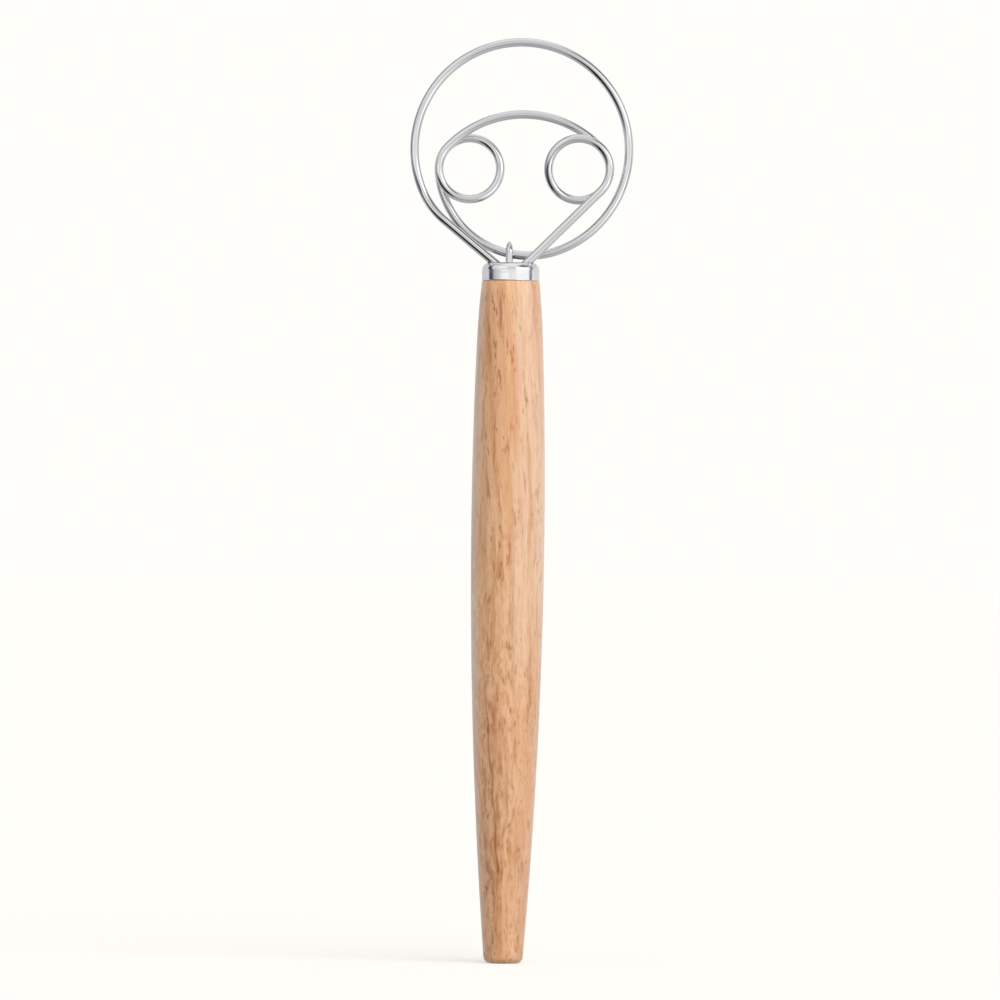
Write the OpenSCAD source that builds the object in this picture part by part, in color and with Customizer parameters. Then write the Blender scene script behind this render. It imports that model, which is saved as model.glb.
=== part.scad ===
// Dough whisk: a turned wooden handle, a drawn steel cap and one bent wire head with two curls.
// Millimetres. The handle stands on +Z from the centre of its flat butt end at the origin.
// The head lies in the XZ plane, and its front faces -Y.

/* [Handle] */
// length of bare wood, from the butt end to the cap's rim
handle_l = 250.8; // [200:0.1:310]
// height of the thickest section above the butt end
handle_max_z = 160; // [120:1:190]
// thickest diameter
handle_d = 27; // [22:0.5:34]
// radius of the long curve from the butt end up to the thickest section
belly_low_r = 2000; // [1400:50:4000]
// radius of the long curve from the thickest section towards the cap
belly_top_r = 1750; // [1200:50:4000]
// length of the neck curve that closes onto the cap
neck_l = 20.8; // [8:0.1:40]
// rounded edge of the butt end
butt_round = 2.4; // [0.5:0.1:4]

/* [Cap] */
// outer diameter of the cap, flush with the wood
cap_d = 21.1; // [17:0.1:26]
// height of the cap above its rim
cap_h = 6.7; // [5:0.1:14]
// sheet thickness of the cap
cap_wall = 0.6; // [0.4:0.1:1.2]
// outside radius of the cap's shoulder
cap_round = 2.8; // [1:0.1:4]
// height of the tenon inside the cap
tenon_h = 2.2; // [1:0.1:6]
// slip clearance of the tenon in the cap, on the radius
tenon_clear = 0.08; // [0.02:0.01:0.3]

/* [Bore and resin] */
// least thickness of resin between a wire socket and the wall of the bore
resin_wall = 0.36; // [0.2:0.01:2]
// depth of the bore below the tenon's top
bore_depth = 34; // [20:1:60]
// depth of the wire sockets below the tenon's top
set_l = 28; // [12:1:50]
// clearance of the wire sockets and openings, on the radius
wire_clear = 0.06; // [0.02:0.01:0.3]

/* [Wire] */
// wire diameter
wire_d = 3.2; // [2.4:0.1:3.8]
// least gap kept between two passes of the wire
pass_gap = 0.5; // [0.41:0.01:2]
// sides of the wire's section
wire_sides = 10; // [6:2:24]
// straight run of each leg below the top of the cap, before its end bends down
end_run = 1.4; // [1.2:0.1:2]
// gap between the keeper and the nearer wire end, under the cap
end_gap = 0.45; // [0.2:0.05:1.2]

/* [Ring] */
// centreline radius of the outer ring
ring_r = 39.45; // [32:0.05:50]
// height of the ring's lowest point, on the centreline, above the top of the cap
ring_lift = 2.2; // [1.8:0.05:6]
// offset of the ring's centre to the right of the handle's axis
ring_x = 3.54; // [0:0.01:6]
// angle at which the ring leaves its circle for the left leg, from +X
leg_turn_a = 202; // [190:1:215]
// centreline radius of the bend from the ring into the left leg
leg_bend_r = 29.4; // [20:0.1:38]
// where the left leg meets the top of the cap
leg_l_x = -6.1; // [-7:0.1:-5.6]
// where the right leg meets the top of the cap
leg_r_x = 6; // [5.6:0.1:7]
// how far in front of the handle's axis the left leg stands
leg_l_front = 1.4; // [0:0.1:1.8]

/* [Curls] */
// centreline radius of both curls
curl_r = 11.3; // [8:0.05:14]
// least distance from the left curl to the ring, between centrelines
curl_l_gap = 7.77; // [4:0.01:12]
// least distance from the right curl to the ring, between centrelines
curl_r_gap = 5.83; // [4:0.01:12]
// height of the curls' centres below the ring's centre
curl_down = 7.13; // [0:0.01:12]
// how much larger the radius of the arch is than half the width over both curls
arch_flat = 7.38; // [1:0.01:20]
// how much smaller than the ring's radius that of the arc from its bottom to the left curl is
inner_less = 6.45; // [4.5:0.05:10]

/* [Keeper] */
// wire diameter of the keeper
keeper_d = 2.7; // [1.6:0.1:3.2]
// clearance between the keeper and the ring's bottom, all round
keeper_clear = 0.3; // [0.1:0.05:1]
// distance of the keeper to the right of the handle's axis
keeper_x = -0.6; // [-1:0.1:1]
// depth of the ring's bottom behind the handle's axis
ring_back = 1; // [0:0.1:2]

/* [Hidden] */
$fn = 72;
handle_steps = 22;
neck_steps = 6;
round_steps = 6;

// Heights
cap_top = handle_l + cap_h;
tenon_top = handle_l + tenon_h;
cap_in_r = cap_d / 2 - cap_wall;
bore_floor = tenon_top - bore_depth;
end_floor = tenon_top - set_l;

// Depth levels of the wire passes: the front one, the middle one and the back one
pass_step = wire_d + pass_gap;
back_y = pass_step;
front_y = -pass_step;
leg_l_y = -leg_l_front;
leg_r_y = ring_back - pass_step - 0.1;

// Distance of both wire ends from the handle's axis, clear of the keeper between them
end_x = abs(keeper_x) + keeper_d / 2 + end_gap + wire_d / 2;

// Small helpers. Points in the head's plane are [x, z].
function ease(t) = t * t * (3 - 2 * t);
function mix(a, b, t) = a + (b - a) * t;
function polar(c, r, a) = [c[0] + r * cos(a), c[1] + r * sin(a)];
function heading(c, p) = atan2(p[1] - c[1], p[0] - c[0]);
function below(a, limit) = a < limit ? a : below(a - 360, limit);

// Where two circles of radii r0 and r1 about p and q meet: turn is 1 for the point to the left of
// the way from p to q, and -1 for the one to its right
function meet(p, r0, q, r1, turn) =
  let (
    d = norm(q - p),
    u = (q - p) / d,
    along = (r0 * r0 - r1 * r1 + d * d) / (2 * d),
    side = sqrt(max(0, r0 * r0 - along * along))
  )
  p + along * u + turn * side * [-u[1], u[0]];

// An arc in the head's plane whose depth eases from y0 to y1; its last point belongs to the next piece
function arc(c, r, a0, a1, y0, y1, step) =
  let (n = max(2, ceil(abs(a1 - a0) / step)))
  [
    for (i = [0:n - 1])
      let (t = i / n, p = polar(c, r, mix(a0, a1, t)))
      [p[0], mix(y0, y1, ease(t)), p[1]]
  ];

// A straight length in the head's plane, in n parts
function straight(p, q, y0, y1, n) =
  [
    for (i = [0:n - 1])
      let (t = i / n)
      [mix(p[0], q[0], t), mix(y0, y1, ease(t)), mix(p[1], q[1], t)]
  ];

// Centres
ring_c = [ring_x, cap_top + ring_lift + ring_r];
curl_l_off = ring_r - curl_r - curl_l_gap;
curl_r_off = ring_r - curl_r - curl_r_gap;
curl_l_c = ring_c + [-sqrt(curl_l_off * curl_l_off - curl_down * curl_down), -curl_down];
curl_r_c = ring_c + [sqrt(curl_r_off * curl_r_off - curl_down * curl_down), -curl_down];
inner_r = ring_r - inner_less;
arch_r = (curl_r_c[0] - curl_l_c[0]) / 2 + curl_r + arch_flat;
leg_bend_c = polar(ring_c, ring_r - leg_bend_r, leg_turn_a);
inner_c = meet(ring_c, ring_r - inner_r, curl_l_c, inner_r - curl_r, 1);
arch_c = meet(curl_l_c, arch_r - curl_r, curl_r_c, arch_r - curl_r, -1);
leg_l_p = [leg_l_x, cap_top];
leg_r_p = [leg_r_x, cap_top];

// Angles at which the wire passes from one curve to the next
leg_l_a = heading(leg_bend_c, leg_l_p) - acos(leg_bend_r / norm(leg_l_p - leg_bend_c)) + 360;
leg_r_a = heading(curl_r_c, leg_r_p) + acos(curl_r / norm(leg_r_p - curl_r_c));
ring_end_a = heading(ring_c, inner_c);
inner_end_a = below(heading(inner_c, curl_l_c), ring_end_a);
arch_l_a = heading(arch_c, curl_l_c);
arch_r_a = heading(arch_c, curl_r_c);

// Directions of both legs towards the cap, the corner where each one turns straight down, and the
// radius of its bend there, on the centreline
leg_l_t = polar(leg_bend_c, leg_bend_r, leg_l_a);
leg_r_t = polar(curl_r_c, curl_r, leg_r_a);
leg_l_dir = (leg_l_p - leg_l_t) / norm(leg_l_p - leg_l_t);
leg_r_dir = (leg_r_p - leg_r_t) / norm(leg_r_p - leg_r_t);
leg_l_turn = acos(-leg_l_dir[1]);
leg_r_turn = acos(-leg_r_dir[1]);
corner_l = leg_l_p + leg_l_dir * (-end_x - leg_l_x) / leg_l_dir[0];
corner_r = leg_r_p + leg_r_dir * (end_x - leg_r_x) / leg_r_dir[0];
function end_bend(corner, foot, turn) =
  max(0.6 * wire_d, (norm(corner - foot) - end_run) / tan(turn / 2));
end_bend_l = end_bend(corner_l, leg_l_p, leg_l_turn);
end_bend_r = end_bend(corner_r, leg_r_p, leg_r_turn);
cut_l = end_bend_l * tan(leg_l_turn / 2);
cut_r = end_bend_r * tan(leg_r_turn / 2);
bend_l_c = [-end_x - end_bend_l, corner_l[1] - cut_l];
bend_r_c = [end_x + end_bend_r, corner_r[1] - cut_r];

// The head's centreline, from the left end round to the right end. Where two passes of a curl lie
// over one another their depth stays level, and the step between them is made on the free side.
overlap_l = 48;
overlap_r = 44;
wire_path = concat(
  straight([-end_x, end_floor], [-end_x, bend_l_c[1]], leg_l_y, leg_l_y, 3),
  arc(bend_l_c, end_bend_l, 0, leg_l_turn, leg_l_y, leg_l_y, 12),
  straight(corner_l - leg_l_dir * cut_l, leg_l_t, leg_l_y, leg_l_y, 4),
  arc(leg_bend_c, leg_bend_r, leg_l_a, leg_turn_a, leg_l_y, 0, 8),
  arc(ring_c, ring_r, leg_turn_a, ring_end_a, 0, ring_back, 7),
  arc(inner_c, inner_r, ring_end_a, inner_end_a, ring_back, back_y, 7),
  arc(curl_l_c, curl_r, inner_end_a + 360, arch_l_a - overlap_l, back_y, back_y, 14),
  arc(curl_l_c, curl_r, arch_l_a - overlap_l, inner_end_a + overlap_l, back_y, 0, 14),
  arc(curl_l_c, curl_r, inner_end_a + overlap_l, arch_l_a - 360, 0, 0, 14),
  arc(arch_c, arch_r, arch_l_a, arch_r_a, 0, 0, 7),
  arc(curl_r_c, curl_r, arch_r_a, leg_r_a - overlap_r, 0, 0, 14),
  arc(curl_r_c, curl_r, leg_r_a - overlap_r, arch_r_a + overlap_r - 360, 0, front_y, 14),
  arc(curl_r_c, curl_r, arch_r_a + overlap_r - 360, leg_r_a - 360, front_y, front_y, 14),
  straight(leg_r_t, corner_r - leg_r_dir * cut_r, front_y, leg_r_y, 10),
  arc(bend_r_c, end_bend_r, 180 - leg_r_turn, 180, leg_r_y, leg_r_y, 12),
  straight([end_x, bend_r_c[1]], [end_x, end_floor], leg_r_y, leg_r_y, 3),
  [[end_x, leg_r_y, end_floor]]
);

// Height and depth of the wire where the keeper crosses it: on the inner arc, or on the ring where
// the inner arc starts to the left of the keeper
function lowest(c, r, x) = c[1] - sqrt(r * r - pow(x - c[0], 2));
function share(a, a0, a1) = (a0 - a) / (a0 - a1);
on_inner = polar(ring_c, ring_r, ring_end_a)[0] > keeper_x;
keeper_ring_z = on_inner ? lowest(inner_c, inner_r, keeper_x) : lowest(ring_c, ring_r, keeper_x);
keeper_p = [keeper_x, keeper_ring_z];
keeper_y = on_inner
  ? mix(ring_back, back_y, ease(share(heading(inner_c, keeper_p), ring_end_a, inner_end_a)))
  : mix(0, ring_back, ease(share(heading(ring_c, keeper_p), leg_turn_a, ring_end_a)));
keeper_half = (wire_d + keeper_d) / 2 + keeper_clear;

// Radius of the bore, round the outermost of the four wire ends
function reach(x, y, d) = norm([x, y]) + d / 2 + wire_clear;
bore_r = resin_wall + max(
  reach(end_x, leg_l_y, wire_d),
  reach(end_x, leg_r_y, wire_d),
  reach(keeper_x, keeper_y - keeper_half, keeper_d),
  reach(keeper_x, keeper_y + keeper_half, keeper_d)
);

// Least gap between two passes of the wire, on the points of its centreline
way = [
  for (i = 0, s = 0; i < len(wire_path); i = i + 1,
    s = s + (i < len(wire_path) ? norm(wire_path[i] - wire_path[i - 1]) : 0))
    s
];
near = 5 * wire_d;
pass_gaps = [
  for (i = [0:len(wire_path) - 2])
    for (j = [i + 1:len(wire_path) - 1])
      if (way[j] - way[i] > near)
        norm(wire_path[j] - wire_path[i]) - wire_d
];
echo(wire_length = way[len(way) - 1]);
echo(least_wire_gap = min(pass_gaps));

// One tube through a list of points, with a flat end at each end
module tube(path, d, sides) {
  last = len(path) - 1;
  rings = [
    for (i = [0:last])
      let (
        ahead = path[min(last, i + 1)] - path[max(0, i - 1)],
        t = ahead / norm(ahead),
        u = cross([0, 1, 0], t) / norm(cross([0, 1, 0], t)),
        v = cross(t, u)
      )
      for (k = [0:sides - 1])
        path[i] + d / 2 * (cos(360 * k / sides) * u + sin(360 * k / sides) * v)
  ];
  skin = [
    for (i = [0:last - 1])
      for (k = [0:sides - 1])
        let (
          a = i * sides + k,
          b = i * sides + (k + 1) % sides
        )
        each [[a, a + sides, b + sides], [a, b + sides, b]]
  ];
  caps = [
    for (k = [1:sides - 2])
      each [[0, k, k + 1], [last * sides, last * sides + k + 1, last * sides + k]]
  ];
  polyhedron(rings, concat(skin, caps));
}

// Straight sockets of the four wire ends, run up past the tenon's top
module end_sockets() {
  socket_floor = end_floor - wire_clear;
  socket_l = set_l + wire_clear + 1;
  for (side = [-1, 1])
    translate([side * end_x, side < 0 ? leg_l_y : leg_r_y, socket_floor])
      cylinder(d = wire_d + 2 * wire_clear, h = socket_l);
  for (side = [-1, 1])
    translate([keeper_x, keeper_y + side * keeper_half, socket_floor])
      cylinder(d = keeper_d + 2 * wire_clear, h = socket_l);
}

// A slanted opening for one leg: from its bend under the cap, out along the leg
module leg_opening(corner, dir, cut, y) {
  inward = wire_d / 2;
  translate([corner[0], y, corner[1]])
    rotate([0, -90 - atan2(dir[1], dir[0]), 0])
      translate([0, 0, cut - inward])
        cylinder(d = wire_d + 2 * wire_clear, h = cap_h + inward);
}

// Radius of the bare wood at height z
neck_z = handle_l - neck_l;
neck_top_r = handle_d / 2 - pow(neck_z - handle_max_z, 2) / (2 * belly_top_r);
neck_slope = (neck_z - handle_max_z) / belly_top_r;
neck_bow = neck_top_r - neck_slope * neck_l - cap_d / 2;
function wood_r(z) =
  z < handle_max_z ? handle_d / 2 - pow(handle_max_z - z, 2) / (2 * belly_low_r)
  : z < neck_z ? handle_d / 2 - pow(z - handle_max_z, 2) / (2 * belly_top_r)
  : neck_top_r - neck_slope * (z - neck_z) - neck_bow * pow((z - neck_z) / neck_l, 2);

// Turned handle: rounded butt, long belly, neck, shoulder and tenon, bored from the top
module handle() {
  butt = [
    for (i = [0:round_steps])
      let (a = 90 * i / round_steps)
      [wood_r(butt_round) - butt_round * (1 - sin(a)), butt_round * (1 - cos(a))]
  ];
  belly = [
    for (i = [1:handle_steps])
      let (z = mix(butt_round, neck_z, i / handle_steps))
      [wood_r(z), z]
  ];
  neck = [
    for (i = [1:neck_steps])
      let (z = mix(neck_z, handle_l, i / neck_steps))
      [wood_r(z), z]
  ];
  tenon_r = cap_in_r - tenon_clear;
  color([0.80, 0.62, 0.45])
    difference() {
      rotate_extrude()
        polygon(concat([[0, 0]], butt, belly, neck, [
          [tenon_r, handle_l],
          [tenon_r, tenon_top],
          [0, tenon_top]
        ]));
      translate([0, 0, bore_floor])
        cylinder(r = bore_r, h = bore_depth + 1);
    }
}

// Half section of the cap's outside, or of its inside when inset by the sheet thickness
module cap_section(inset) {
  r = cap_d / 2 - inset;
  round_r = cap_round - inset;
  top = cap_top - inset;
  translate([0, handle_l])
    square([r, top - handle_l - round_r]);
  translate([0, top - round_r - 0.01])
    square([r - round_r, round_r + 0.01]);
  intersection() {
    translate([r - round_r, top - round_r])
      circle(r = round_r);
    translate([r - round_r - 0.01, top - round_r - 0.01])
      square([round_r + 0.02, round_r + 0.02]);
  }
}

// Drawn cap: open at the rim, with openings for both legs and the keeper
module ferrule() {
  color([0.78, 0.78, 0.80])
    difference() {
      rotate_extrude()
        cap_section(0);
      rotate_extrude()
        cap_section(cap_wall);
      translate([0, 0, handle_l - 1])
        cylinder(r = cap_in_r, h = 1 + cap_wall);
      leg_opening(corner_l, leg_l_dir, cut_l, leg_l_y);
      leg_opening(corner_r, leg_r_dir, cut_r, leg_r_y);
      for (side = [-1, 1])
        translate([keeper_x, keeper_y + side * keeper_half, tenon_top])
          cylinder(d = keeper_d + 2 * wire_clear, h = cap_h);
    }
}

// Cast resin plug that fills the bore round the wire ends
module resin_core() {
  color([0.86, 0.82, 0.70])
    difference() {
      translate([0, 0, bore_floor])
        cylinder(r = bore_r, h = bore_depth);
      end_sockets();
    }
}

// The bent wire of the head
module head_wire() {
  color([0.74, 0.74, 0.76])
    tube(wire_path, wire_d, wire_sides);
}

// Hairpin over the ring's bottom, with both legs set in the resin
module keeper_loop() {
  color([0.74, 0.74, 0.76])
    translate([keeper_x, keeper_y, keeper_ring_z]) {
      for (side = [-1, 1])
        translate([0, side * keeper_half, 0])
          mirror([0, 0, 1])
            cylinder(d = keeper_d, h = keeper_ring_z - end_floor);
      rotate([90, 0, 90])
        rotate_extrude(angle = 180)
          translate([keeper_half, 0])
            circle(d = keeper_d);
    }
}

handle();
ferrule();
resin_core();
head_wire();
keeper_loop();
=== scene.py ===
import math

import bpy
import numpy as np
from mathutils import Matrix, Vector


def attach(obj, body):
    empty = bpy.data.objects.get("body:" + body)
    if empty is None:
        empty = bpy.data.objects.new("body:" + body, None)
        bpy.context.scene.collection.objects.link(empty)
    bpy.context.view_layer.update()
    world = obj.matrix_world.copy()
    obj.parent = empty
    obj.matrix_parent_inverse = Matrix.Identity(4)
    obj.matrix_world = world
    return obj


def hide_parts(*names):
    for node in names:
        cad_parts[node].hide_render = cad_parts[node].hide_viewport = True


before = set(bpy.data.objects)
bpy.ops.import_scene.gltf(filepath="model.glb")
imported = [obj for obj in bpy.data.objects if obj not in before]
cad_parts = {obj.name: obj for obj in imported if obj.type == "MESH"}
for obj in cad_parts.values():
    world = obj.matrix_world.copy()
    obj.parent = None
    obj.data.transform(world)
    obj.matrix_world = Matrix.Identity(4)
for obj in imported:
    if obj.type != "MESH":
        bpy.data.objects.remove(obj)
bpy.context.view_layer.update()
bpy.context.scene.view_settings.view_transform = "Standard"
MM = 0.001

# Sizes of the whisk in millimetres, as the frame has them.
HANDLE_L = 250.8
THICKEST_Z = 160.0
HANDLE_R = 13.5
BELLY_LOW_R = 2000.0
BELLY_TOP_R = 1750.0
NECK_L = 20.8
BUTT_ROUND = 2.4
CAP_R = 10.55
CAP_H = 6.7
CAP_WALL = 0.6
CAP_ROUND = 2.8
TENON_H = 2.2
TENON_CLEAR = 0.08
TENON_R = CAP_R - CAP_WALL - TENON_CLEAR
BORE_DEPTH = 34.0
SET_L = 28.0
WIRE_CLEAR = 0.06
RESIN_WALL = 0.36
WIRE_D = 3.2
PASS_GAP = 0.5
PASS_STEP = WIRE_D + PASS_GAP
LEAST_BEND_R = 0.6 * WIRE_D
END_RUN = 1.4
END_GAP = 0.45
RING_R = 39.45
RING_LIFT = 2.2
RING_X = 3.54
LEG_TURN = 202.0
LEG_BEND_R = 29.4
LEG_L_X = -6.1
LEG_R_X = 6.0
CURL_R = 11.3
CURL_L_GAP = 7.77
CURL_R_GAP = 5.83
CURL_DOWN = 7.13
ARCH_FLAT = 7.38
INNER_INSET = 6.45
INNER_R = RING_R - INNER_INSET
KEEPER_D = 2.7
KEEPER_CLEAR = 0.3
KEEPER_X = -0.6
KEEPER_NARROWED = 0.6
KEEPER_HOLE_L = 3.0
END_X = abs(KEEPER_X) + KEEPER_D / 2 + END_GAP + WIRE_D / 2
RING_BACK = 1.0
BACK_Y = PASS_STEP
FRONT_Y = -PASS_STEP
LEG_L_Y = -1.4
LEG_R_CLEAR = 0.1
LEG_R_Y = RING_BACK - PASS_STEP - LEG_R_CLEAR
OVERLAP_L = 48.0
OVERLAP_R = 44.0
CAP_TOP = HANDLE_L + CAP_H
TENON_TOP = HANDLE_L + TENON_H
END_FLOOR = TENON_TOP - SET_L

# Small edges: the softened top edge of the wood and the point halfway along it, and the rim of
# the cap as pairs of a step in from its side and a step up from the wood.
WOOD_EDGE = 0.35
WOOD_EDGE_MIDDLE = (0.1, 0.14)
CAP_RIM = ((0.3, 0.02), (0.08, 0.08), (0.0, 0.22), (0.0, 0.3), (0.0, 0.4))
CAP_HOLD = 0.1
CAP_FLAT_EDGE = 2.5
CAP_CENTRE_R = 1.5

# How finely the pieces are made. An arc has a point for each ARC_STEP of degrees times radius.
HANDLE_SIDES = 96
HANDLE_STEPS = 48
BUTT_STEPS = 8
CAP_SIDES = 128
CAP_ROUND_STEPS = 12
CAP_INSIDE_STEPS = 8
OPENING_SIDES = 48
WIRE_SIDES = 28
ARC_STEP = 50.0
ARC_LEAST_R = 8
KEEPER_SIDES = 32
KEEPER_STEPS = 6
KEEPER_TURNS = 28
WIRE_UV = "along_wire"
UV_PER_METRE = 100

# The floor, in metres.
FLOOR_R = 14
FLOOR_SIDES = 96


# The camera

def set_camera():
    """The photograph's view: level, straight at the front, with the head leaning a little right."""
    far, frame_width = 3.0, 0.36772
    middle_x, middle_z = -0.00302, 0.17023
    sensor = 36.0
    lean = math.radians(0.646)
    data = bpy.data.cameras.new("photo_camera")
    data.sensor_width = sensor
    data.lens = sensor * far / frame_width
    data.clip_start, data.clip_end = 0.05, 60.0
    camera = bpy.data.objects.new("photo_camera", data)
    bpy.context.scene.collection.objects.link(camera)
    place = Matrix.Translation((middle_x, -far, middle_z))
    level = Matrix.Rotation(math.radians(90), 4, "X")
    camera.matrix_world = place @ level @ Matrix.Rotation(lean, 4, "Z")
    bpy.context.scene.camera = camera


# Modelling by hand

def start():
    """Leaves edit mode and deselects everything before a new piece is begun."""
    if bpy.context.mode != "OBJECT":
        bpy.ops.object.mode_set(mode="OBJECT")
    bpy.ops.object.select_all(action="DESELECT")


def take(piece):
    """Selects one piece alone and makes it the active one."""
    bpy.ops.object.select_all(action="DESELECT")
    piece.select_set(True)
    bpy.context.view_layer.objects.active = piece


def first_ring(name, radius, z, sides):
    """A plain ring of edges about the handle's axis, left in edit mode."""
    start()
    bpy.ops.mesh.primitive_circle_add(
        vertices=sides, radius=radius * MM, fill_type="NOTHING", location=(0, 0, 0)
    )
    piece = bpy.context.object
    piece.name = piece.data.name = name
    bpy.ops.object.mode_set(mode="EDIT")
    bpy.ops.mesh.select_all(action="SELECT")
    bpy.ops.transform.translate(value=(0, 0, z * MM))
    return piece


def next_ring(now, then):
    """Draws the open ring on from (radius, height) now to then, as on a lathe."""
    bpy.ops.mesh.extrude_region_move(
        TRANSFORM_OT_translate={"value": (0, 0, (then[1] - now[1]) * MM)}
    )
    size = then[0] / now[0]
    bpy.ops.transform.resize(value=(size, size, 1), center_override=(0, 0, then[1] * MM))


def turned(name, profile, sides):
    """A turned piece from its profile, a list of (radius, height), with both end rings filled."""
    piece = first_ring(name, profile[0][0], profile[0][1], sides)
    for now, then in zip(profile, profile[1:]):
        next_ring(now, then)
    bpy.ops.mesh.select_all(action="DESELECT")
    bpy.ops.mesh.select_non_manifold()
    bpy.ops.mesh.fill_holes(sides=0)
    tidy_mesh()
    return piece


def tidy_mesh():
    """Merges doubles, points the faces outwards and leaves edit mode."""
    bpy.ops.mesh.select_all(action="SELECT")
    bpy.ops.mesh.remove_doubles(threshold=1e-7)
    bpy.ops.mesh.normals_make_consistent(inside=False)
    bpy.ops.object.mode_set(mode="OBJECT")


def smooth(piece, angle):
    """Smooth shading, with edges sharper than the angle in degrees kept crisp."""
    take(piece)
    bpy.ops.object.shade_smooth_by_angle(angle=math.radians(angle))


def round_points(centre, radius, a0, a1, count):
    """Points of a rounded corner of a profile, from one angle to another in degrees."""
    return [
        (
            centre[0] + radius * math.cos(math.radians(a0 + (a1 - a0) * i / count)),
            centre[1] + radius * math.sin(math.radians(a0 + (a1 - a0) * i / count)),
        )
        for i in range(count + 1)
    ]


# The way of the wire

def polar(c, r, a):
    """The point at a distance and an angle in degrees from c."""
    return (c[0] + r * math.cos(math.radians(a)), c[1] + r * math.sin(math.radians(a)))


def heading(c, p):
    """The angle in degrees from c to p."""
    return math.degrees(math.atan2(p[1] - c[1], p[0] - c[0]))


def apart(p, q):
    return math.hypot(q[0] - p[0], q[1] - p[1])


def meet(p, r0, q, r1, turn):
    """Where circles r0 about p and r1 about q meet: turn 1 is left of the way from p to q."""
    d = apart(p, q)
    u = ((q[0] - p[0]) / d, (q[1] - p[1]) / d)
    along = (r0 * r0 - r1 * r1 + d * d) / (2 * d)
    side = turn * math.sqrt(max(0.0, r0 * r0 - along * along))
    return (p[0] + along * u[0] - side * u[1], p[1] + along * u[1] + side * u[0])


def ease(t):
    """0 to 1 with a soft start and a soft end."""
    return t * t * (3 - 2 * t)


def lay_arc(way, c, r, a0, a1, y0, y1):
    """Adds an arc of the wire, whose depth goes from y0 to y1, without its last point."""
    count = max(2, math.ceil(abs(a1 - a0) * max(r, ARC_LEAST_R) / ARC_STEP))
    for i in range(count):
        t = i / count
        x, z = polar(c, r, a0 + (a1 - a0) * t)
        way.append((x, y0 + (y1 - y0) * ease(t), z))


def lay_straight(way, p, q, y0, y1, count):
    """Adds a straight of the wire, whose depth goes from y0 to y1, without its last point."""
    for i in range(count):
        t = i / count
        way.append((p[0] + (q[0] - p[0]) * t, y0 + (y1 - y0) * ease(t), p[1] + (q[1] - p[1]) * t))


def plan_head():
    """Centres and angles of the bent wire, in the plane of the head as (x, z)."""
    h = {}
    ring = h["ring"] = (RING_X, CAP_TOP + RING_LIFT + RING_R)
    off_l = RING_R - CURL_R - CURL_L_GAP
    off_r = RING_R - CURL_R - CURL_R_GAP
    curl_z = ring[1] - CURL_DOWN
    curl_l = h["curl_l"] = (ring[0] - math.sqrt(off_l**2 - CURL_DOWN**2), curl_z)
    curl_r = h["curl_r"] = (ring[0] + math.sqrt(off_r**2 - CURL_DOWN**2), curl_z)
    h["arch_r"] = (curl_r[0] - curl_l[0]) / 2 + CURL_R + ARCH_FLAT
    h["leg_bend"] = polar(ring, RING_R - LEG_BEND_R, LEG_TURN)
    h["inner"] = meet(ring, RING_R - INNER_R, curl_l, INNER_R - CURL_R, 1)
    h["arch"] = meet(curl_l, h["arch_r"] - CURL_R, curl_r, h["arch_r"] - CURL_R, -1)
    foot_l, foot_r = (LEG_L_X, CAP_TOP), (LEG_R_X, CAP_TOP)
    lb = h["leg_bend"]
    h["leg_l_a"] = (
        heading(lb, foot_l) - math.degrees(math.acos(LEG_BEND_R / apart(lb, foot_l))) + 360
    )
    h["leg_r_a"] = heading(curl_r, foot_r) + math.degrees(math.acos(CURL_R / apart(curl_r, foot_r)))
    h["ring_end"] = heading(ring, h["inner"])
    h["inner_end"] = heading(h["inner"], curl_l)
    while h["inner_end"] >= h["ring_end"]:
        h["inner_end"] -= 360
    h["arch_l"] = heading(h["arch"], curl_l)
    h["arch_r_a"] = heading(h["arch"], curl_r)
    for side, foot, centre, radius in (
        ("l", foot_l, lb, LEG_BEND_R),
        ("r", foot_r, curl_r, CURL_R),
    ):
        tangent = h["leg_" + side + "_t"] = polar(centre, radius, h["leg_" + side + "_a"])
        length = apart(tangent, foot)
        way = h["leg_" + side + "_dir"] = (
            (foot[0] - tangent[0]) / length,
            (foot[1] - tangent[1]) / length,
        )
        turn = h["turn_" + side] = math.degrees(math.acos(-way[1]))
        end = -END_X if side == "l" else END_X
        reach = (end - foot[0]) / way[0]
        corner = h["corner_" + side] = (foot[0] + way[0] * reach, foot[1] + way[1] * reach)
        half = math.tan(math.radians(turn / 2))
        bend = h["bend_r_" + side] = max(LEAST_BEND_R, (apart(corner, foot) - END_RUN) / half)
        cut = h["cut_" + side] = bend * half
        h["bend_" + side] = (end - bend if side == "l" else end + bend, corner[1] - cut)
    return h


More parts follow.
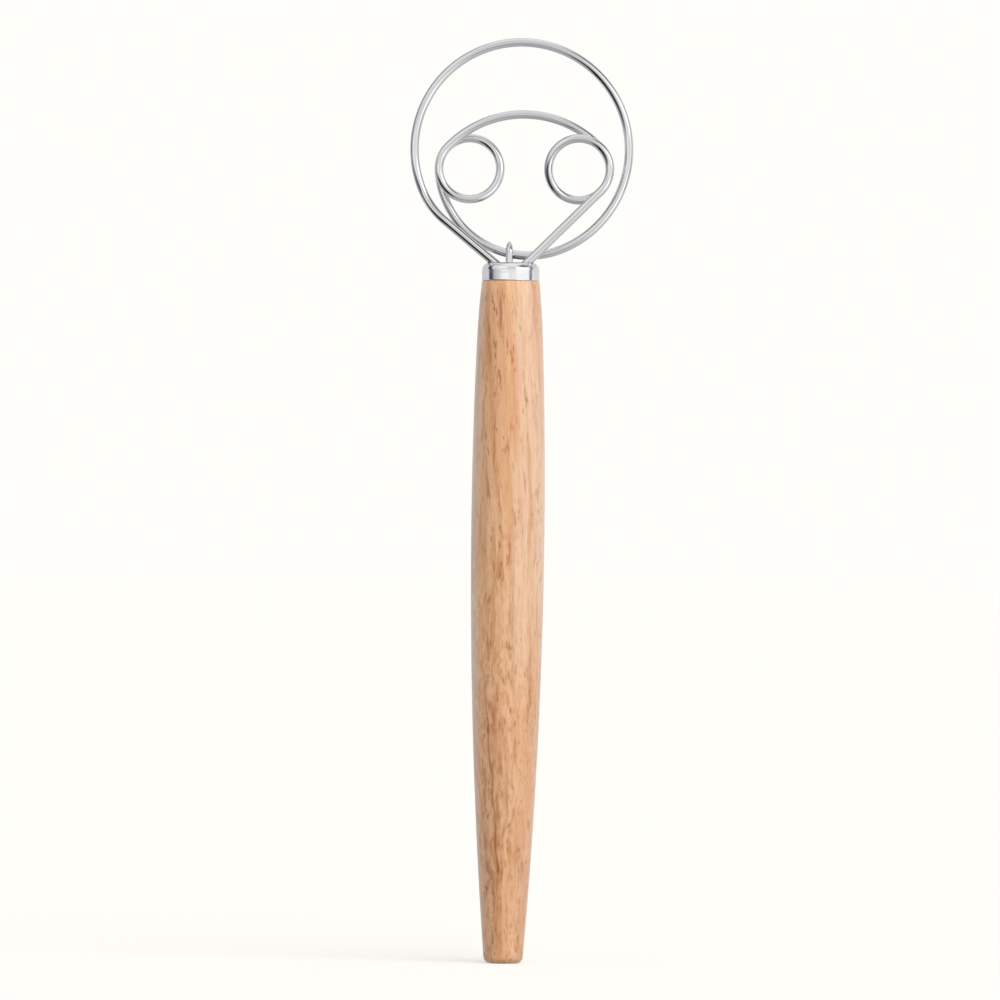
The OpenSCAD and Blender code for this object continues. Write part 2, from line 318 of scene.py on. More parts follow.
def head_way(h):
    """Centreline of the head's wire, from the left end round to the right end."""
    way = []
    curl_l, curl_r = h["curl_l"], h["curl_r"]
    l_start = tuple(c - d * h["cut_l"] for c, d in zip(h["corner_l"], h["leg_l_dir"]))
    r_end = tuple(c - d * h["cut_r"] for c, d in zip(h["corner_r"], h["leg_r_dir"]))
    lay_straight(way, (-END_X, END_FLOOR), (-END_X, h["bend_l"][1]), LEG_L_Y, LEG_L_Y, 4)
    lay_arc(way, h["bend_l"], h["bend_r_l"], 0, h["turn_l"], LEG_L_Y, LEG_L_Y)
    lay_straight(way, l_start, h["leg_l_t"], LEG_L_Y, LEG_L_Y, 12)
    lay_arc(way, h["leg_bend"], LEG_BEND_R, h["leg_l_a"], LEG_TURN, LEG_L_Y, 0)
    lay_arc(way, h["ring"], RING_R, LEG_TURN, h["ring_end"], 0, RING_BACK)
    lay_arc(way, h["inner"], INNER_R, h["ring_end"], h["inner_end"], RING_BACK, BACK_Y)
    a0, a1 = h["inner_end"], h["arch_l"]
    lay_arc(way, curl_l, CURL_R, a0 + 360, a1 - OVERLAP_L, BACK_Y, BACK_Y)
    lay_arc(way, curl_l, CURL_R, a1 - OVERLAP_L, a0 + OVERLAP_L, BACK_Y, 0)
    lay_arc(way, curl_l, CURL_R, a0 + OVERLAP_L, a1 - 360, 0, 0)
    lay_arc(way, h["arch"], h["arch_r"], a1, h["arch_r_a"], 0, 0)
    a0, a1 = h["arch_r_a"], h["leg_r_a"]
    lay_arc(way, curl_r, CURL_R, a0, a1 - OVERLAP_R, 0, 0)
    lay_arc(way, curl_r, CURL_R, a1 - OVERLAP_R, a0 + OVERLAP_R - 360, 0, FRONT_Y)
    lay_arc(way, curl_r, CURL_R, a0 + OVERLAP_R - 360, a1 - 360, FRONT_Y, FRONT_Y)
    lay_straight(way, h["leg_r_t"], r_end, FRONT_Y, LEG_R_Y, 24)
    lay_arc(way, h["bend_r"], h["bend_r_r"], 180 - h["turn_r"], 180, LEG_R_Y, LEG_R_Y)
    lay_straight(way, (END_X, h["bend_r"][1]), (END_X, END_FLOOR), LEG_R_Y, LEG_R_Y, 4)
    way.append((END_X, LEG_R_Y, END_FLOOR))
    return way


# Finishes

class Nodes:
    """Short words for the nodes of one tree."""

    def __init__(self, tree):
        self.tree = tree

    def add(self, kind, **settings):
        node = self.tree.nodes.new(kind)
        for key, value in settings.items():
            setattr(node, key, value)
        return node

    def give(self, value, socket):
        """Sets a socket to a number or a colour, or joins another socket to it."""
        if isinstance(value, (int, float)):
            socket.default_value = value
        elif isinstance(value, tuple):
            socket.default_value = (*value, 1.0)
        else:
            self.tree.links.new(value, socket)

    def maths(self, kind, a, b=0.0):
        node = self.add("ShaderNodeMath", operation=kind)
        self.give(a, node.inputs[0])
        self.give(b, node.inputs[1])
        return node.outputs[0]

    def plus(self, a, b):
        return self.maths("ADD", a, b)

    def times(self, a, b):
        return self.maths("MULTIPLY", a, b)

    def parts(self, vector):
        """The three parts of a vector."""
        node = self.add("ShaderNodeSeparateXYZ")
        self.give(vector, node.inputs[0])
        return node.outputs

    def span(self, value, low, high, to_low=0.0, to_high=1.0):
        """Maps low..high smoothly to another range, clamped."""
        node = self.add("ShaderNodeMapRange", interpolation_type="SMOOTHSTEP")
        node.inputs["From Min"].default_value = low
        node.inputs["From Max"].default_value = high
        node.inputs["To Min"].default_value = to_low
        node.inputs["To Max"].default_value = to_high
        self.give(value, node.inputs["Value"])
        return node.outputs["Result"]

    def blend(self, share, first, second, how="MIX"):
        """Mixes two colours. Each is a colour or a socket."""
        node = self.add("ShaderNodeMix", data_type="RGBA", blend_type=how)
        self.give(share, node.inputs[0])
        self.give(first, node.inputs[6])
        self.give(second, node.inputs[7])
        return node.outputs[2]


class Finish(Nodes):
    """A material with its shader, and short words for its patterns."""

    def __init__(self, name):
        self.material = bpy.data.materials.new(name)
        self.material.use_nodes = True
        super().__init__(self.material.node_tree)
        self.shader = self.tree.nodes["Principled BSDF"]

    def look(self, name, value):
        """Gives the shader one of its values, as a number, a colour or a socket."""
        self.give(value, self.shader.inputs[name])

    def grid(self, source, scale, move=(0, 0, 0), turn=(0, 0, 0)):
        """A place scaled, turned and moved for one pattern."""
        node = self.add("ShaderNodeMapping")
        node.inputs["Scale"].default_value = scale
        node.inputs["Rotation"].default_value = turn
        node.inputs["Location"].default_value = move
        self.give(source, node.inputs["Vector"])
        return node.outputs["Vector"]

    def place(self, scale, turn=(0, 0, 0)):
        """The object's own coordinates, scaled and turned for one pattern."""
        return self.grid(self.add("ShaderNodeTexCoord").outputs["Object"], scale, turn=turn)

    def noise(self, where, detail=3.0, rough=0.5):
        """A soft noise over a place that is already scaled for it."""
        node = self.add("ShaderNodeTexNoise")
        node.inputs["Scale"].default_value = 1.0
        node.inputs["Detail"].default_value = detail
        node.inputs["Roughness"].default_value = rough
        self.give(where, node.inputs["Vector"])
        return node.outputs

    def relief(self, height, depth, strength):
        """Lets a height show in the shading, to a depth in metres."""
        node = self.add("ShaderNodeBump")
        node.inputs["Strength"].default_value = strength
        node.inputs["Distance"].default_value = depth
        self.give(height, node.inputs["Height"])
        self.look("Normal", node.outputs["Normal"])


def colour(r, g, b):
    """A colour as read off a screen, 0 to 255, for a shader."""
    return tuple(
        (v / 255 / 12.92) if v / 255 <= 0.04045 else ((v / 255 + 0.055) / 1.055) ** 2.4
        for v in (r, g, b)
    )


def varnished_wood():
    """Warm pale hardwood under a satin varnish: leaning, wavy grain with open brown pores."""
    f = Finish("varnished_wood")

    def carried(source, shift, amount):
        """Carries a place by a pattern, so many metres along each axis."""
        node = f.add("ShaderNodeVectorMath", operation="MULTIPLY_ADD")
        f.give(shift, node.inputs[0])
        node.inputs[1].default_value = amount
        f.give(source, node.inputs[2])
        return node.outputs["Vector"]

    # long waves in the whole grain, and short ripples that fade towards the head
    leaning = f.place((1, 1, 1), turn=(0, 0.045, 0))
    along = f.parts(leaning)
    low_down = f.span(along["Z"], 0.10, 0.19, 1.0, 0.2)
    waves = f.noise(f.grid(leaning, (26, 26, 9)), detail=1.5)
    ripples = f.noise(f.grid(leaning, (90, 90, 80), (5, 3, 1)), detail=2.0)
    fading = f.add("ShaderNodeVectorMath", operation="SCALE")
    f.give(ripples["Color"], fading.inputs[0])
    f.give(low_down, fading.inputs["Scale"])
    grain = carried(leaning, waves["Color"], (0.009, 0.009, 0.0))
    grain = carried(grain, fading.outputs["Vector"], (0.004, 0.004, 0.0))

    # the grain with a fine tear in it, for the ends of strokes and pores
    tear = f.noise(f.grid(grain, (900, 900, 300)))
    torn = carried(grain, tear["Color"], (0.0005, 0.0005, 0.002))

    def pattern(scale, move=(0, 0, 0), detail=3.0, rough=0.5):
        """A soft pattern that follows the grain."""
        return f.noise(f.grid(grain, scale, move), detail, rough)["Fac"]

    # growth: broad tone, rosy patches, bands, fine fibres, and the dark edges of the rings
    broad = pattern((75, 75, 9), (3, 1, 0), detail=2.0)
    rosy = pattern((150, 150, 30), (1, 6, 2), detail=2.5, rough=0.6)
    bands = pattern((230, 230, 8), detail=2.5, rough=0.55)
    fibres = pattern((1000, 1000, 110), (7, 2, 5), rough=0.6)
    years = f.add("ShaderNodeTexWave", wave_type="BANDS", bands_direction="X", wave_profile="SAW")
    years.inputs["Scale"].default_value = 42.0
    f.give(f.grid(grain, (1, 0.4, 0.05), (0.0016, 0, 0)), years.inputs["Vector"])
    faded = f.span(pattern((60, 60, 24), (8, 3, 3), detail=1.5), 0.45, 0.62)
    year_lines = f.times(f.span(years.outputs["Fac"], 0.74, 0.97), faded)

    # open pores gather in patches, and there are more of them on the left of the front
    side = f.span(along["X"], -0.004, 0.010, 0.05, -0.14)
    side = f.times(side, f.span(along["Z"], 0.05, 0.16, 0.2, 1.0))
    patches = f.plus(pattern((120, 120, 30), (2, 9, 4), detail=1.5), side)

    def dashes(scale, move, lift, low, high):
        """Short dark strokes along the grain, more of them where the open patches are."""
        marks = f.noise(f.grid(torn, scale, move), detail=2.5, rough=0.55)
        return f.span(f.plus(marks["Fac"], f.times(patches, lift)), low, high)

    def pits(scale, move, gather, low, high):
        """Small pits, one in a cell, kept where chance and the open patches allow."""
        cells = f.add("ShaderNodeTexVoronoi", feature="F1")
        cells.inputs["Randomness"].default_value = 1.0
        cells.inputs["Scale"].default_value = 1.0
        f.give(f.grid(torn, scale, move), cells.inputs["Vector"])
        chance = f.add("ShaderNodeSeparateColor")
        f.give(cells.outputs["Color"], chance.inputs["Color"])
        luck = f.plus(chance.outputs[0], f.times(patches, gather))
        shape = f.span(cells.outputs["Distance"], 0.06, 0.42, 1.0, 0.0)
        return f.times(shape, f.span(luck, low, high))

    # strokes and pores are fewer towards both edges of the front
    own = f.parts(f.place((1, 1, 1)))
    calm = f.times(
        f.span(own["X"], -0.0105, -0.0065, 0.35, 1.0),
        f.span(own["X"], 0.004, 0.009, 1.0, 0.7),
    )
    mottle = f.times(dashes((720, 720, 200), (6, 1, 3), 0.14, 0.5, 0.74), low_down)
    strokes = f.times(dashes((660, 660, 130), (4, 4, 8), 0.25, 0.69, 0.81), calm)
    streaks = f.times(dashes((560, 560, 44), (9, 5, 1), 0.2, 0.64, 0.79), calm)
    pores = pits((760, 760, 230), (0, 0, 0), 1.0, 1.1, 1.5)
    flecks = f.times(pits((900, 900, 380), (3, 3, 3), 0.4, 0.6, 1.0), low_down)

    # one long growth line slants down the lower half
    slant = f.plus(own["X"], f.times(own["Z"], 0.0823))
    slant = f.plus(slant, f.times(ripples["Fac"], 0.002))
    line = f.times(f.span(slant, 0.0009, 0.0017), f.span(slant, 0.0017, 0.0022, 1.0, 0.0))
    ends = f.times(
        f.span(own["Z"], 0.012, 0.035),
        f.span(own["Z"], 0.085, 0.115, 1.0, 0.0),
    )
    broken = f.span(pattern((300, 300, 60), (2, 2, 7)), 0.35, 0.6, 0.35, 1.0)
    long_line = f.times(f.times(line, ends), broken)

    # the strokes are boldest on the left, high up, and the growth is livelier on the left
    bold = f.times(
        f.span(own["X"], -0.001, 0.004, 1.0, 0.0),
        f.span(low_down, 0.2, 0.8, 1.0, 0.0),
    )
    lively = f.span(along["X"], 0.002, 0.011, 1.0, 0.6)
    banding = f.times(f.span(low_down, 0.2, 1.0, 0.4, 0.24), f.span(bands, 0.48, 0.68))

    # each layer of the growth and its marks over those before it
    deep = colour(194, 124, 58)
    pore = colour(158, 86, 10)
    tone = f.blend(f.span(broad, 0.35, 0.65), colour(229, 173, 122), colour(240, 195, 150))
    for share, shade in (
        (f.span(rosy, 0.48, 0.66, 0.0, 0.4), colour(228, 166, 134)),
        (banding, deep),
        (f.span(fibres, 0.44, 0.68, 0.0, 0.22), deep),
        (f.times(mottle, f.times(lively, 0.42)), deep),
        (f.times(streaks, f.span(bold, 0.0, 1.0, 0.40, 0.66)), pore),
        (f.times(strokes, f.span(bold, 0.0, 1.0, 0.46, 0.68)), pore),
        (f.times(year_lines, f.times(lively, 0.4)), deep),
        (f.times(long_line, 0.68), pore),
        (f.times(flecks, 0.34), pore),
        (f.times(f.times(pores, calm), 0.78), pore),
    ):
        tone = f.blend(share, tone, shade)

    # the wood turns a little browner from near the butt up to its middle; its left and right sides
    # are painted paler and cooler, a painted sheen for the varnish's reflection at the grazing
    # edges, strongest on the left
    across_front = f.plus(own["X"], f.times(broad, 0.01))
    brown = f.blend(f.span(own["Z"], 0.03, 0.12), (1.02, 1.01, 1.05), (1.06, 1.02, 0.99))
    tint_and_painted_sheen = f.blend(f.span(across_front, 0.006, 0.0095), brown, (1.02, 1.10, 1.28))
    tint_and_painted_sheen = f.blend(f.span(across_front, -0.0068, -0.0025, 1.0, 0.0), tint_and_painted_sheen, (1.10, 1.28, 1.60))
    f.look("Base Color", f.blend(1.0, tone, tint_and_painted_sheen, "MULTIPLY"))
    f.look("Roughness", f.span(fibres, 0.3, 0.7, 0.42, 0.56))
    f.look("Specular IOR Level", 0.3)
    f.look("Coat Weight", 0.9)
    f.look("Coat Roughness", 0.24)
    f.look("Sheen Weight", 0.35)
    f.look("Sheen Roughness", 0.35)
    sunk = f.plus(pores, f.times(strokes, 0.4))
    f.relief(f.maths("SUBTRACT", f.times(fibres, 0.25), sunk), 0.00005, 0.26)
    return f.material


def steel_wire(name, shade):
    """Drawn stainless wire: bright, with faint lines along it and a little haze."""
    f = Finish(name)
    along = f.add("ShaderNodeUVMap", uv_map=WIRE_UV)
    lines = f.noise(f.grid(along.outputs["UV"], (14, 40, 1)), rough=0.6)["Fac"]
    haze = f.noise(f.place((90, 90, 90)))["Fac"]
    darker = tuple(v * 0.9 for v in shade)
    f.look("Base Color", f.blend(f.span(lines, 0.35, 0.7), shade, darker))
    f.look("Metallic", 1.0)
    f.look("Roughness", f.span(haze, 0.35, 0.7, 0.05, 0.11))
    f.relief(lines, 0.00001, 0.12)
    return f.material


def steel_cap_finish():
    """Drawn and buffed stainless sheet: fine lines round the cap and soft clouds in the shine."""
    f = Finish("buffed_cap_steel")
    rounds = f.noise(f.place((60, 60, 2600)), rough=0.6)["Fac"]
    clouds = f.noise(f.place((160, 160, 160)))["Fac"]
    tone = f.blend(f.span(clouds, 0.35, 0.7), (0.85, 0.85, 0.86), (0.79, 0.79, 0.80))
    # the flat top is painted dark, a painted shade for the shadow in the narrow gap under the ring,
    # which the ring's underside mirrors
    own = f.parts(f.place((1, 1, 1)))
    height = f.plus(own["Z"], f.times(clouds, 0.0003))
    top = (CAP_TOP + 0.1) * MM
    painted_shade_top = f.span(height, top - 0.0005, top - 0.0001, 0.0, 0.85)
    f.look("Base Color", f.blend(painted_shade_top, tone, (0.22, 0.215, 0.215)))
    f.look("Metallic", 1.0)
    f.look("Roughness", f.span(rounds, 0.35, 0.7, 0.12, 0.24))
    f.relief(rounds, 0.00001, 0.15)
    return f.material


def cast_resin():
    """Cloudy straw-coloured resin round the wire ends."""
    f = Finish("cast_resin")
    clouds = f.noise(f.place((300, 300, 300)), detail=4.0)["Fac"]
    f.look("Base Color", f.blend(clouds, (0.72, 0.64, 0.42), (0.82, 0.76, 0.58)))
    f.look("Roughness", f.span(clouds, 0.3, 0.7, 0.2, 0.35))
    f.relief(clouds, 0.00005, 0.3)
    return f.material


def finish_with(piece, material):
    """Gives a piece its only material."""
    piece.data.materials.clear()
    piece.data.materials.append(material)


# The pieces

def wood_radius(z):
    """Radius of the wood at a height: two long curves, and a neck that draws in to the cap."""
    neck_z = HANDLE_L - NECK_L
    neck_r = HANDLE_R - (neck_z - THICKEST_Z) ** 2 / (2 * BELLY_TOP_R)
    slope = (neck_z - THICKEST_Z) / BELLY_TOP_R
    bow = neck_r - slope * NECK_L - CAP_R
    if z < THICKEST_Z:
        return HANDLE_R - (THICKEST_Z - z) ** 2 / (2 * BELLY_LOW_R)
    if z < neck_z:
        return HANDLE_R - (z - THICKEST_Z) ** 2 / (2 * BELLY_TOP_R)
    return neck_r - slope * (z - neck_z) - bow * ((z - neck_z) / NECK_L) ** 2


def turn_handle(bore_r):
    """The handle from its butt up to the tenon, and down the bore to its floor."""
    edge = wood_radius(BUTT_ROUND)
    profile = round_points((edge - BUTT_ROUND, BUTT_ROUND), BUTT_ROUND, -90, 0, BUTT_STEPS)
    for i in range(1, HANDLE_STEPS + 1):
        z = BUTT_ROUND + (HANDLE_L - WOOD_EDGE - BUTT_ROUND) * i / HANDLE_STEPS
        profile.append((wood_radius(z), z))
    profile += [
        (CAP_R - WOOD_EDGE_MIDDLE[0], HANDLE_L - WOOD_EDGE_MIDDLE[1]),
        (CAP_R - WOOD_EDGE, HANDLE_L),
        (TENON_R, HANDLE_L),
        (TENON_R, TENON_TOP),
        (bore_r, TENON_TOP),
        (bore_r, TENON_TOP - BORE_DEPTH),
    ]
    piece = turned("turned_handle", profile, HANDLE_SIDES)
    smooth(piece, 35)
    return piece


def draw_cap(h, keeper_y, keeper_half):
    """The cap: a turned shell with slanted openings for the legs and holes for the keeper."""
    shoulder = (CAP_R - CAP_ROUND, CAP_TOP - CAP_ROUND)
    outside = [(CAP_R - step_in, HANDLE_L + step_up) for step_in, step_up in CAP_RIM]
    outside += [(CAP_R, CAP_TOP - CAP_ROUND - CAP_HOLD)]
    outside += round_points(shoulder, CAP_ROUND, 0, 90, CAP_ROUND_STEPS)
    outside += [(CAP_R - CAP_ROUND - CAP_FLAT_EDGE, CAP_TOP), (CAP_CENTRE_R, CAP_TOP)]
    inside = [(CAP_CENTRE_R, CAP_TOP - CAP_WALL)]
    inside += round_points(shoulder, CAP_ROUND - CAP_WALL, 90, 0, CAP_INSIDE_STEPS)
    inside += [(CAP_R - CAP_WALL, HANDLE_L + CAP_RIM[0][1])]
    piece = turned("steel_cap", inside + outside, CAP_SIDES)
    cutters = []
    for side, y in (("l", LEG_L_Y), ("r", LEG_R_Y)):
        corner, way, cut = h["corner_" + side], h["leg_" + side + "_dir"], h["cut_" + side]
        low, high = cut - WIRE_D / 2, cut + CAP_H
        middle = (low + high) / 2
        centre = (corner[0] - way[0] * middle, y, corner[1] - way[1] * middle)
        lean = math.atan2(-way[0], -way[1])
        cutters.append((centre, lean, WIRE_D / 2 + WIRE_CLEAR, high - low))
    for side in (-1, 1):
        centre = (KEEPER_X, keeper_y + side * keeper_half, CAP_TOP)
        cutters.append((centre, 0, KEEPER_D / 2 + WIRE_CLEAR, KEEPER_HOLE_L))
    for centre, lean, radius, length in cutters:
        bpy.ops.object.select_all(action="DESELECT")
        bpy.ops.mesh.primitive_cylinder_add(
            vertices=OPENING_SIDES,
            radius=radius * MM,
            depth=length * MM,
            location=Vector(centre) * MM,
            rotation=(0, lean, 0),
        )
        cutter = bpy.context.object
        take(piece)
        hole = piece.modifiers.new("opening", "BOOLEAN")
        hole.object = cutter
        hole.operation = "DIFFERENCE"
        hole.solver = "EXACT"
        bpy.ops.object.modifier_apply(modifier=hole.name)
        bpy.data.objects.remove(cutter)
    smooth(piece, 30)
    return piece


def bend_wire(name, way, radius, sides):
    """A round wire along a list of points."""
    start()
    curve = bpy.data.curves.new(name, "CURVE")
    curve.dimensions = "3D"
    curve.bevel_depth = radius * MM
    curve.bevel_resolution = sides // 2 - 2
    curve.use_fill_caps = True
    line = curve.splines.new("POLY")
    line.points.add(len(way) - 1)
    for point, place in zip(line.points, way):
        point.co = (place[0] * MM, place[1] * MM, place[2] * MM, 1.0)
    piece = bpy.data.objects.new(name, curve)
    bpy.context.scene.collection.objects.link(piece)
    take(piece)
    bpy.ops.object.convert(target="MESH")
    piece = bpy.context.object
    piece.name = piece.data.name = name
    bpy.ops.object.mode_set(mode="EDIT")
    tidy_mesh()
    smooth(piece, 50)
    return piece


def along_wire(piece, way, side):
    """Writes the distance along the wire and the turn about it as a UV map. The turn is counted
    from side, a direction that no part of the wire follows."""
    line = np.array(way) * MM
    steps = np.linalg.norm(np.diff(line, axis=0), axis=1)
    run = np.concatenate([[0.0], np.cumsum(steps)])
    mesh = piece.data
    co = np.zeros(len(mesh.vertices) * 3)
    mesh.vertices.foreach_get("co", co)
    co = co.reshape(-1, 3)
    near = np.array([np.argmin(((line - p) ** 2).sum(1)) for p in co])
    ahead = line[np.minimum(near + 1, len(line) - 1)] - line[np.maximum(near - 1, 0)]
    ahead /= np.linalg.norm(ahead, axis=1)[:, None]
    out = co - line[near]
    across = np.cross(np.array(side), ahead)
    across /= np.linalg.norm(across, axis=1)[:, None]
    turn = np.arctan2(out @ np.array(side), (out * across).sum(1)) / (2 * math.pi)
    uv = mesh.uv_layers.new(name=WIRE_UV)
    for polygon in mesh.polygons:
        turns = [turn[mesh.loops[i].vertex_index] for i in polygon.loop_indices]
        wrap = max(turns) - min(turns) > 0.5
        for i, t in zip(polygon.loop_indices, turns):
            v = mesh.loops[i].vertex_index
            uv.data[i].uv = (run[near[v]] * UV_PER_METRE, t + 1 if wrap and t < 0 else t)


def bend_keeper(keeper_y, keeper_half, ring_z):
    """The keeper: a wire drawn up from its socket, turned over the ring and down again."""
    start()
    bpy.ops.mesh.primitive_circle_add(
        vertices=KEEPER_SIDES, radius=KEEPER_D / 2 * MM, fill_type="NGON", location=(0, 0, 0)
    )
    piece = bpy.context.object
    piece.name = piece.data.name = "keeper_hairpin"
    bpy.ops.object.mode_set(mode="EDIT")
    bpy.ops.mesh.select_all(action="SELECT")
    bpy.ops.transform.translate(
        value=(KEEPER_X * MM, (keeper_y - keeper_half) * MM, END_FLOOR * MM)
    )
    step = (ring_z - END_FLOOR) * MM / KEEPER_STEPS
    for _ in range(KEEPER_STEPS):
        bpy.ops.mesh.extrude_region_move(TRANSFORM_OT_translate={"value": (0, 0, step)})
    bpy.ops.mesh.spin(
        steps=KEEPER_TURNS,
        angle=math.pi,
        center=(KEEPER_X * MM, keeper_y * MM, ring_z * MM),
        axis=(1, 0, 0),
    )
    for _ in range(KEEPER_STEPS):
        bpy.ops.mesh.extrude_region_move(TRANSFORM_OT_translate={"value": (0, 0, -step)})
    tidy_mesh()

    # its top narrows from side to side
    top = max(v.co.z for v in piece.data.vertices)
    for v in piece.data.vertices:
        height = max(0.0, (v.co.z - ring_z * MM) / (top - ring_z * MM))
        narrow = 1 - KEEPER_NARROWED * height**3
        v.co.x = (KEEPER_X + (v.co.x / MM - KEEPER_X) * narrow) * MM
    smooth(piece, 50)
    return piece


def keeper_way(keeper_y, keeper_half, ring_z):
    """Centreline of the keeper: up, over the ring and down again."""
    steps, turns = 20, 24
    rise = [END_FLOOR + (ring_z - END_FLOOR) * i / steps for i in range(steps + 1)]
    way = [(KEEPER_X, keeper_y - keeper_half, z) for z in rise]
    way += [
        (KEEPER_X, keeper_y + keeper_half * y, ring_z + keeper_half * z)
        for y, z in round_points((0, 0), 1, 180, 0, turns)[1:-1]
    ]
    way += [(KEEPER_X, keeper_y + keeper_half, z) for z in reversed(rise)]
    return way


# The studio

def studio_light():
    """White all round for the camera, even light for the object, and panels that steel mirrors."""
    world = bpy.data.worlds.new("studio")
    bpy.context.scene.world = world
    world.use_nodes = True
    world.node_tree.nodes.clear()
    n = Nodes(world.node_tree)

    # angles of a direction: round from the front to the right, and up
    direction = n.add("ShaderNodeTexCoord").outputs["Generated"]
    axes = n.parts(direction)
    around = n.maths("ARCTAN2", axes["X"], n.times(axes["Y"], -1.0))
    up = n.maths("ARCSINE", axes["Z"])

    def within(value, low, high, soft):
        """1 inside low..high in degrees, with soft edges."""
        rising = n.span(value, math.radians(low - soft), math.radians(low + soft))
        falling = n.span(value, math.radians(high - soft), math.radians(high + soft), 1.0, 0.0)
        return n.times(rising, falling)

    def band(low, high, soft):
        """A band all round the room, between two heights."""
        return within(up, low, high, soft)

    def panel(bearings, heights, soft, lean=0.0):
        """A panel between two bearings and two heights, leaning back as it rises."""
        bearing = n.plus(around, n.times(up, lean))
        return n.times(within(bearing, *bearings, soft), within(up, *heights, soft))

    def spot(centre, inner, outer):
        """A round spot in one direction, fading out between two angles in degrees."""
        near = n.add("ShaderNodeVectorMath", operation="DOT_PRODUCT")
        n.give(direction, near.inputs[0])
        near.inputs[1].default_value = Vector(centre).normalized()
        low, high = math.cos(math.radians(outer)), math.cos(math.radians(inner))
        return n.span(near.outputs["Value"], low, high)

    # the room that the steel mirrors, each part over those before it
    room = (1.14, 1.14, 1.14)
    for share, shade in (
        (band(-100, -5, 4), (0.52, 0.52, 0.53)),
        (panel((22, 130), (-75, -7), 12), (0.66, 0.66, 0.66)),
        (band(9, 100, 5), (0.72, 0.72, 0.73)),
        (band(34, 100, 12), (0.84, 0.84, 0.85)),
        (band(62, 100, 8), (1.03, 1.03, 1.03)),
        (panel((-190, -103), (-40, 45), 8), (0.68, 0.68, 0.71)),
        (panel((103, 190), (-40, 45), 8), (0.82, 0.82, 0.83)),
        (panel((-86, -42), (-9, 60), 12), (0.76, 0.76, 0.76)),
        (panel((-86, -60), (-9, 60), 7), (0.57, 0.57, 0.57)),
        (panel((-90, -50), (15, 60), 8), (0.80, 0.80, 0.81)),
        (panel((-54, -18), (19, 50), 7), (1.12, 1.12, 1.13)),
        (panel((1, 24), (-7, 7), 5), (0.94, 0.94, 0.93)),
        (panel((-9, 4), (-5, 12), 4), (0.92, 0.92, 0.92)),
        (panel((31, 70), (-9, 9), 6), (1.06, 1.06, 1.04)),
        (panel((25, 78), (9, 38), 6), (1.75, 1.75, 1.73)),
        (panel((22, 64), (-29, -6), 6), (1.50, 1.50, 1.48)),
        (panel((34, 66), (-44, -27), 6), (0.95, 0.95, 0.95)),
        (spot((0.624, -0.242, 0.743), 8, 23), (0.14, 0.14, 0.145)),
        (panel((80, 95), (-20, 70), 3, -0.55), (0.19, 0.18, 0.24)),
        (panel((-98.5, -74.5), (-20, 70), 4, 0.55), (0.05, 0.05, 0.09)),
        (spot((-0.421, -0.743, -0.520), 7, 14), (0.13, 0.13, 0.135)),
        (spot((-0.522, -0.559, -0.644), 7, 14), (0.13, 0.13, 0.135)),
        (spot((-0.434, -0.848, -0.304), 8, 15), (0.008, 0.008, 0.009)),
        (spot((-0.579, -0.707, -0.406), 9, 16), (0.008, 0.008, 0.009)),
        (spot((-0.687, -0.545, -0.481), 9, 16), (0.008, 0.008, 0.009)),
        (spot((-0.754, -0.391, -0.528), 7, 15), (0.008, 0.008, 0.009)),
        (spot((-0.804, -0.242, -0.543), 9, 18), (0.02, 0.02, 0.022)),
        (spot((-0.700, -0.643, -0.310), 7, 18), (0.10, 0.10, 0.11)),
    ):
        room = n.blend(share, room, shade)

    def background(shade):
        node = n.add("ShaderNodeBackground")
        n.give(shade, node.inputs["Color"])
        return node.outputs["Background"]

    def choose(pick, first, second):
        """The second background for the rays that pick names, and the first for the others."""
        node = n.add("ShaderNodeMixShader")
        n.give(pick, node.inputs[0])
        n.give(first, node.inputs[1])
        n.give(second, node.inputs[2])
        return node.outputs[0]

    ray = n.add("ShaderNodeLightPath").outputs
    unseen = choose(ray["Is Glossy Ray"], background((0.60, 0.605, 0.66)), background(room))
    shown = choose(ray["Is Camera Ray"], unseen, background((1.0, 0.991, 0.956)))
    n.give(shown, n.add("ShaderNodeOutputWorld").inputs["Surface"])

    key = bpy.data.lights.new("soft_key", "SUN")
    key.energy = 1.9
    key.color = (1.0, 0.975, 0.92)
    key.angle = math.radians(60)
    key_lamp = bpy.data.objects.new("soft_key", key)
    key_lamp.rotation_euler = (math.radians(50), 0, math.radians(39))
    key_lamp.visible_glossy = False
    bpy.context.scene.collection.objects.link(key_lamp)


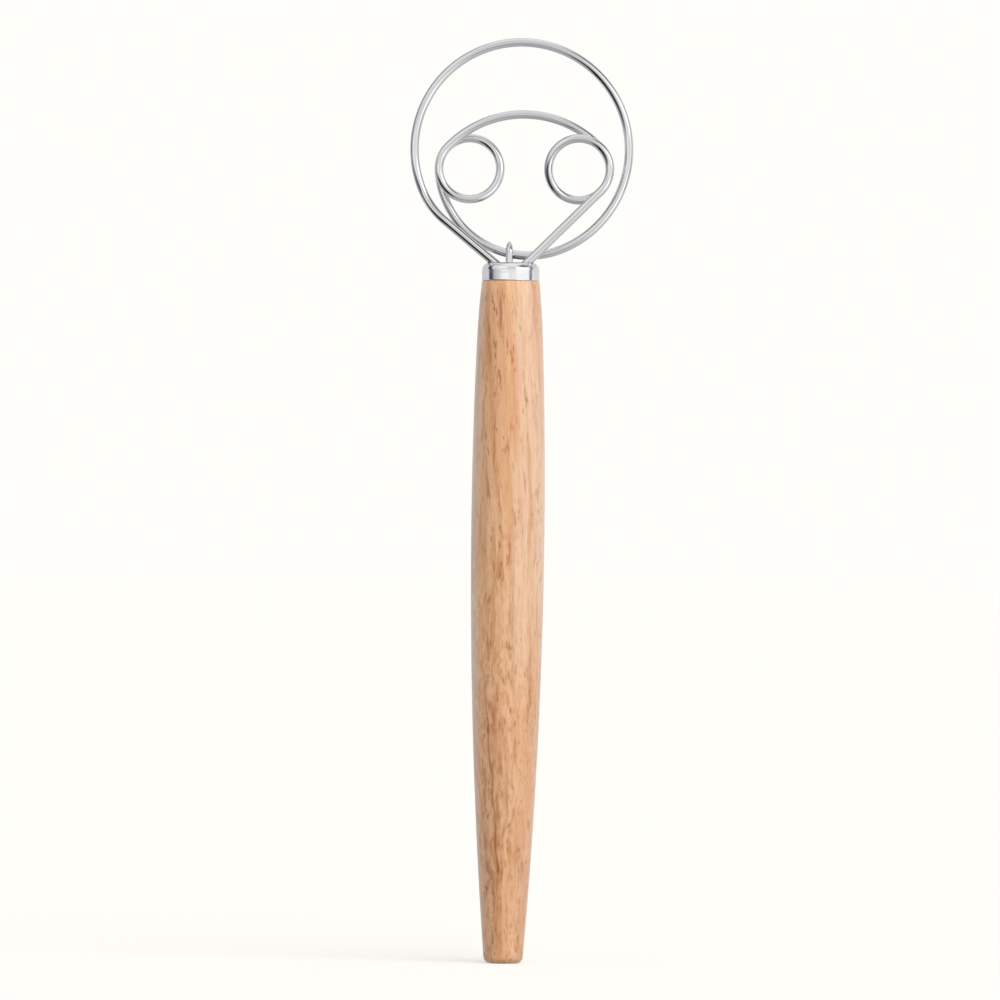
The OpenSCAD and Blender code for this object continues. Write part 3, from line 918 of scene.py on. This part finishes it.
def pale_floor():
    """A wide plain floor under the butt end, white to the camera, that takes the soft shadow."""
    start()
    bpy.ops.mesh.primitive_circle_add(
        vertices=FLOOR_SIDES, radius=FLOOR_R, fill_type="NGON", location=(0, 0, 0)
    )
    floor = bpy.context.object
    floor.name = floor.data.name = "floor"
    f = Finish("pale_floor")
    f.look("Base Color", (0.5, 0.496, 0.472))
    f.look("Roughness", 0.9)
    f.look("Specular IOR Level", 0.0)
    f.look("Emission Color", (1.0, 0.988, 0.926))
    camera_ray = f.add("ShaderNodeLightPath").outputs["Is Camera Ray"]
    f.look("Emission Strength", f.times(camera_ray, 0.51))
    floor.data.materials.append(f.material)
    floor.visible_glossy = False


# Putting it together

set_camera()
studio_light()
pale_floor()

head = plan_head()

# the keeper straddles the inner arc near its lowest point, as far back as the arc lies there
ring_z = head["inner"][1] - math.sqrt(INNER_R**2 - (KEEPER_X - head["inner"][0]) ** 2)
passed = (head["ring_end"] - heading(head["inner"], (KEEPER_X, ring_z))) / (
    head["ring_end"] - head["inner_end"]
)
keeper_y = RING_BACK + (BACK_Y - RING_BACK) * ease(passed)
keeper_half = (WIRE_D + KEEPER_D) / 2 + KEEPER_CLEAR

# the bore takes all four ends, with a wall of resin outside them
bore_r = RESIN_WALL + max(
    math.hypot(END_X, LEG_L_Y) + WIRE_D / 2 + WIRE_CLEAR,
    math.hypot(END_X, LEG_R_Y) + WIRE_D / 2 + WIRE_CLEAR,
    math.hypot(KEEPER_X, keeper_y - keeper_half) + KEEPER_D / 2 + WIRE_CLEAR,
    math.hypot(KEEPER_X, keeper_y + keeper_half) + KEEPER_D / 2 + WIRE_CLEAR,
)

wire_finish = steel_wire("drawn_wire_steel", (0.74, 0.74, 0.745))
# the keeper's steel is the wire's steel a little darker: painted shade, for the shade about the
# keeper between the ring and the cap
keeper_shaded_finish = steel_wire("keeper_steel_painted_shade", (0.72, 0.72, 0.725))

handle = turn_handle(bore_r)
finish_with(handle, varnished_wood())
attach(handle, "root")
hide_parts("handle")

cap = draw_cap(head, keeper_y, keeper_half)
finish_with(cap, steel_cap_finish())
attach(cap, "root")
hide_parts("ferrule")

way = head_way(head)
wire = bend_wire("bent_head", way, WIRE_D / 2, WIRE_SIDES)
along_wire(wire, way, (0.0, 1.0, 0.0))
finish_with(wire, wire_finish)
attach(wire, "root")
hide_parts("head_wire")

keeper = bend_keeper(keeper_y, keeper_half, ring_z)
along_wire(keeper, keeper_way(keeper_y, keeper_half, ring_z), (1.0, 0.0, 0.0))
finish_with(keeper, keeper_shaded_finish)
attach(keeper, "root")
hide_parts("keeper_loop")

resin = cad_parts["resin_core"]
resin.data.materials.clear()
resin.data.materials.append(cast_resin())
